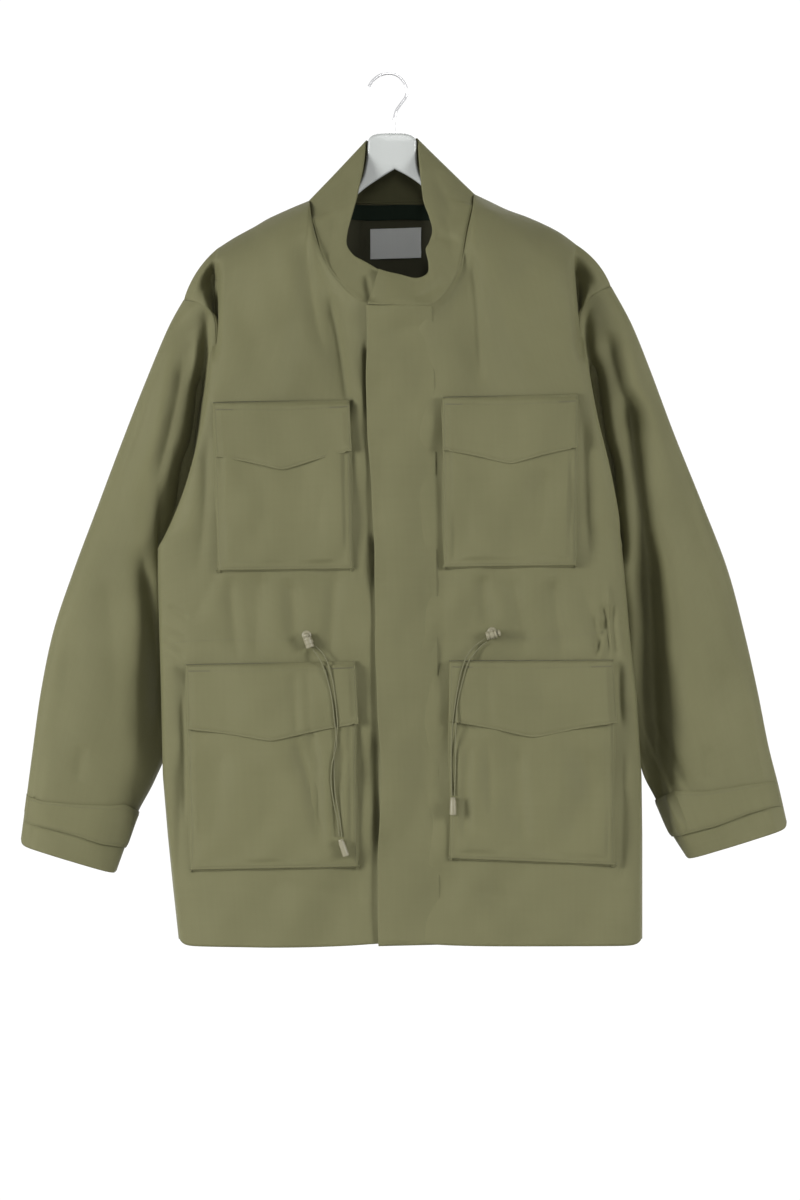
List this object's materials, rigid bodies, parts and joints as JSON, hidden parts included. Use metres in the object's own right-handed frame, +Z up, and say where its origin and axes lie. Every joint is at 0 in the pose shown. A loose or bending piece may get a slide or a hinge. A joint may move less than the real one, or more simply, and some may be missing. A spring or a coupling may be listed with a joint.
{
  "type": "raincoat on a hanger",
  "caption": "Olive field raincoat hanging closed on a moulded hanger: tall stand collar, fly front, bellows pockets with pointed flaps, waist cord and cuff tabs.",
  "frame": {"origin": "the inside top of the hanger's hook, where a rail carries the part", "axes": "+Z up, the coat's front faces -Y, its sleeves spread along X"},
  "size_m": [0.9188, 0.1139, 1.0467],
  "materials": {
    "olive_shell": "tightly woven olive cotton-nylon shell, matt with a slight sheen",
    "dark_lining": "dark olive lining cloth, matt",
    "green_tape": "dark green woven tape",
    "woven_label": "pale grey woven satin, blank",
    "khaki_plastic": "moulded khaki plastic, satin",
    "cord": "fine braided olive cord",
    "hanger_plastic": "smooth white moulded plastic",
    "chrome_wire": "bright plated steel wire"
  },
  "bodies": {
    "root": {"front_left": "olive_shell", "front_right": "olive_shell", "back": "olive_shell", "sleeve_left": "olive_shell", "sleeve_right": "olive_shell", "collar": "olive_shell", "fly": "olive_shell", "chest_pocket_left": "olive_shell", "chest_pocket_right": "olive_shell", "hip_pocket_left": "olive_shell", "hip_pocket_right": "olive_shell", "chest_flap_left": "olive_shell", "chest_flap_right": "olive_shell", "hip_flap_left": "olive_shell", "hip_flap_right": "olive_shell", "cuff_tab_left": "olive_shell", "cuff_tab_right": "olive_shell", "cuff_patch_left": "olive_shell", "neck_lining": "dark_lining", "neck_tape": "green_tape", "neck_label": "woven_label", "eyelet_left": "khaki_plastic", "eyelet_right": "khaki_plastic", "cord_lock_left": "khaki_plastic", "cord_lock_right": "khaki_plastic", "cord_end_left": "khaki_plastic", "cord_end_right": "khaki_plastic", "cord_left_a": "cord", "cord_left_b": "cord", "cord_right_a": "cord", "cord_right_b": "cord", "hanger": "hanger_plastic", "hook": "chrome_wire"}
  },
  "joints": []
}
